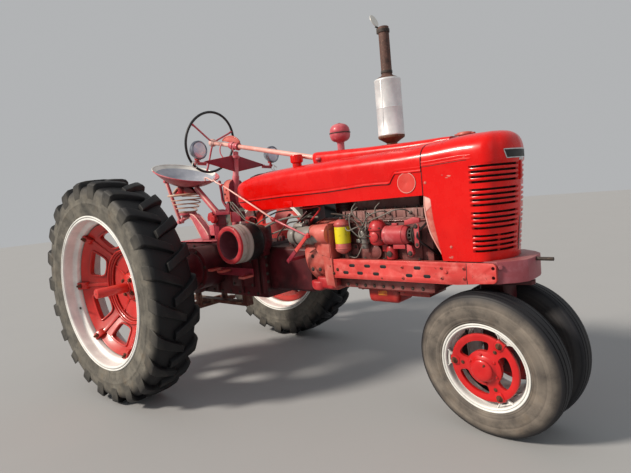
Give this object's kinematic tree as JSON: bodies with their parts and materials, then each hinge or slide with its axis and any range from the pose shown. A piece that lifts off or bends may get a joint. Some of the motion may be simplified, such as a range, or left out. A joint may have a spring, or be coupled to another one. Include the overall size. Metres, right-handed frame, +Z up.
{
  "type": "row-crop tractor",
  "caption": "Vintage row-crop farm tractor with tall rear wheels, a steered narrow front wheel pair, long bonnet over the engine, pan seat, belt pulley and drawbar.",
  "frame": {"origin": "middle of the footprint on the floor: halfway along the overall length, centre plane, underside of the tyres", "axes": "+X forward along the bonnet, +Y to the left, +Z up"},
  "size_m": [3.3686, 1.9, 2.2269],
  "materials": {
    "sheet_paint": "glossy red enamel, worn",
    "faded_paint": "faded chalky red paint",
    "dark_paint": "dark greasy red paint",
    "rim_paint": "white and silver paint",
    "cast_iron": "bare and rusty cast iron",
    "steel": "worn steel",
    "silver_paint": "aluminium paint",
    "lamp": "polished shell, clear lens",
    "tyre": "dusty black rubber"
  },
  "bodies": {
    "chassis": {"side_rails": "faded_paint", "front_bolster": "faded_paint", "radiator": "cast_iron", "nose_shell": "sheet_paint", "hood": "sheet_paint", "shaft_cover": "sheet_paint", "fuel_tank": "sheet_paint", "engine_block": "faded_paint", "cylinder_head": "faded_paint", "oil_pan": "faded_paint", "manifold": "cast_iron", "distributor": "cast_iron", "oil_filter": "faded_paint", "generator": "faded_paint", "governor": "faded_paint", "starter_motor": "silver_paint", "clutch_housing": "faded_paint", "transmission_case": "dark_paint", "rear_axle_housings": "dark_paint", "drawbar": "dark_paint", "rear_platform": "faded_paint", "seat_support": "faded_paint", "seat": "faded_paint", "steering_post": "faded_paint", "light_bar": "dark_paint", "headlamps": "lamp", "air_cleaner": "faded_paint", "muffler": "silver_paint", "control_levers": "faded_paint"},
    "rear_wheel_right": {"rear_tyre_right": "tyre", "rear_rim_right": "rim_paint", "rear_hub_right": "faded_paint"},
    "rear_wheel_left": {"rear_tyre_left": "tyre", "rear_rim_left": "rim_paint", "rear_hub_left": "faded_paint"},
    "front_steering": {"front_pedestal": "dark_paint"},
    "front_wheel_right_set": {"front_tyre_right": "tyre", "front_wheel_right": "rim_paint"},
    "front_wheel_left_set": {"front_tyre_left": "tyre", "front_wheel_left": "rim_paint"},
    "steering_wheel_set": {"steering_wheel": "steel"},
    "belt_pulley_set": {"belt_pulley": "silver_paint"},
    "fan_set": {"fan": "silver_paint"},
    "pto_set": {"pto_shaft": "steel"},
    "rain_cap_set": {"rain_cap": "silver_paint"}
  },
  "joints": [
    {"name": "rear_wheel_right_roll", "type": "hinge", "parent": "chassis", "child": "rear_wheel_right", "pos_m": [-0.9492, -0.804, 0.735], "axis": [0, 1, 0], "continuous": true},
    {"name": "rear_wheel_left_roll", "type": "hinge", "parent": "chassis", "child": "rear_wheel_left", "pos_m": [-0.9492, 0.804, 0.735], "axis": [0, 1, 0], "continuous": true},
    {"name": "front_steer", "type": "hinge", "parent": "chassis", "child": "front_steering", "pos_m": [1.3068, 0, 0.8], "axis": [0, 0, 1], "range_deg": [-54, 66]},
    {"name": "front_wheel_right_roll", "type": "hinge", "parent": "front_steering", "child": "front_wheel_right_set", "pos_m": [1.29427, -0.12337, 0.3653], "axis": [0.1006, 0.9906, 0.0924], "continuous": true},
    {"name": "front_wheel_left_roll", "type": "hinge", "parent": "front_steering", "child": "front_wheel_left_set", "pos_m": [1.31933, 0.12337, 0.3653], "axis": [0.1006, 0.9906, -0.0924], "continuous": true},
    {"name": "steering_wheel_turn", "type": "hinge", "parent": "chassis", "child": "steering_wheel_set", "pos_m": [-0.7742, 0, 1.69], "axis": [-0.9763, 0, 0.2164], "range_deg": [-324, 396]},
    {"name": "belt_pulley_turn", "type": "hinge", "parent": "chassis", "child": "belt_pulley_set", "pos_m": [-0.1992, -0.33, 0.98], "axis": [0, 1, 0], "continuous": true},
    {"name": "fan_turn", "type": "hinge", "parent": "chassis", "child": "fan_set", "pos_m": [1.1688, 0, 1.12], "axis": [1, 0, 0], "continuous": true},
    {"name": "pto_turn", "type": "hinge", "parent": "chassis", "child": "pto_set", "pos_m": [-1.2492, 0, 0.7], "axis": [1, 0, 0], "continuous": true},
    {"name": "rain_cap_hinge", "type": "hinge", "parent": "chassis", "child": "rain_cap_set", "pos_m": [0.6668, 0.095, 2.152], "axis": [0, 1, 0], "range_deg": [0, 110]}
  ],
  "couplings": [
    {"joint": "steering_wheel_turn", "follows": "front_steer", "ratio": 6}
  ]
}
